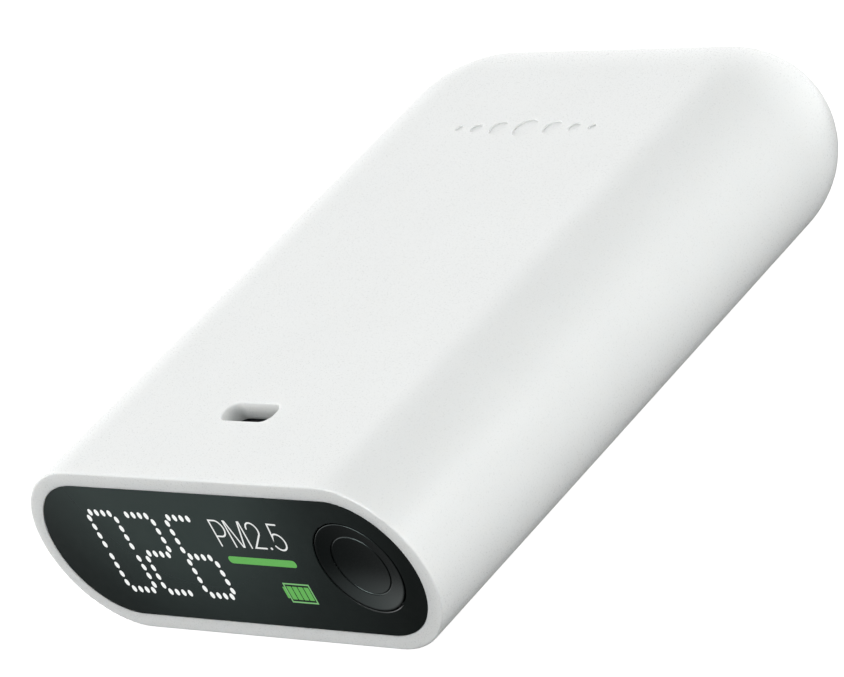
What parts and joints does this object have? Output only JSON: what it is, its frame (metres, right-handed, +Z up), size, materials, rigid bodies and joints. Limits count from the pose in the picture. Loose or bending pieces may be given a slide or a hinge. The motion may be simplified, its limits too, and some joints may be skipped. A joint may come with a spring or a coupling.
{
  "type": "air quality monitor",
  "caption": "Hand-held air quality monitor: white pebble-ended sleeve, dark lit display face with one dished button, air inlet slot on top.",
  "frame": {"origin": "on the flat underside, below the middle of the sleeve's bounding box", "axes": "+X to the display's right, +Y from the display face to the rounded rear end, +Z up"},
  "size_m": [0.062, 0.087, 0.022],
  "materials": {
    "white_shell": "fine satin moulding",
    "smoked_lens": "smoked gloss",
    "button_gloss": "satin black",
    "black_plastic": "matte",
    "adhesive": "matte",
    "clear_guide": "polished",
    "green_guide": "polished",
    "grey_plastic": "matte",
    "sensor_plastic": "matte",
    "circuit_board": "solder mask",
    "led_chip": "resin",
    "socket_plastic": "matte",
    "ribbon": "flexible film",
    "chip_resin": "matte",
    "steel": "plated",
    "mesh_steel": "blackened woven mesh",
    "brass": "turned",
    "copper_winding": "enamelled wire",
    "ferrite": "matte",
    "laser_glass": "polished",
    "foam": "open cell",
    "cell_foil": "satin foil",
    "switch_plastic": "matte",
    "lead_insulation": "smooth"
  },
  "bodies": {
    "housing": {"outer_shell": "white_shell", "display_lens": "smoked_lens", "front_carrier": "black_plastic", "light_mask": "black_plastic", "fan_frame": "black_plastic", "fan_cover": "black_plastic", "laser_holder": "black_plastic", "light_trap": "black_plastic", "switch_body": "black_plastic", "battery_socket": "black_plastic", "lens_adhesive": "adhesive", "left_digit_guides": "clear_guide", "middle_digit_guides": "clear_guide", "right_digit_guides": "clear_guide", "legend_guide": "clear_guide", "status_bar_guide": "green_guide", "battery_icon_guide": "green_guide", "lower_chassis": "grey_plastic", "upper_chassis": "grey_plastic", "sensor_case": "sensor_plastic", "sensor_cover": "sensor_plastic", "display_board": "circuit_board", "sensor_board": "circuit_board", "main_board": "circuit_board", "display_leds": "led_chip", "display_socket": "socket_plastic", "ribbon_sockets": "socket_plastic", "sensor_plug": "socket_plastic", "display_ribbon": "ribbon", "sensor_ribbon": "ribbon", "sensor_chip": "chip_resin", "processor": "chip_resin", "charge_controller": "chip_resin", "photodiode": "chip_resin", "usb_tongue": "chip_resin", "display_screws": "steel", "chassis_screws": "steel", "sensor_screws": "steel", "board_screws": "steel", "usb_socket": "steel", "dust_mesh": "mesh_steel", "outlet_mesh": "mesh_steel", "laser_diode": "brass", "fan_bearing": "brass", "fan_stator": "copper_winding", "power_inductor": "ferrite", "laser_lens": "laser_glass", "sensor_pads": "foam", "inlet_gasket": "foam", "battery_foam": "foam", "battery_cell": "cell_foil", "battery_leads": "lead_insulation"},
    "power_button": {"button_cap": "button_gloss"},
    "plunger": {"switch_plunger": "switch_plastic"},
    "fan": {"fan_rotor": "black_plastic", "fan_shaft": "steel", "rotor_magnet": "ferrite"}
  },
  "joints": [
    {"name": "button_press", "type": "slide", "parent": "housing", "child": "power_button", "axis": [0, 1, 0], "range_m": [0, 0.0003], "stiffness_N_per_m": 1500, "springref_m": -0.0002},
    {"name": "plunger_press", "type": "slide", "parent": "housing", "child": "plunger", "axis": [0, 1, 0], "range_m": [0, 0.0003]},
    {"name": "fan_spin", "type": "hinge", "parent": "housing", "child": "fan", "pos_m": [0.004, -0.0136, 0.0105], "axis": [0, 0, 1], "continuous": true}
  ],
  "couplings": [
    {"joint": "plunger_press", "follows": "button_press", "ratio": 1}
  ]
}
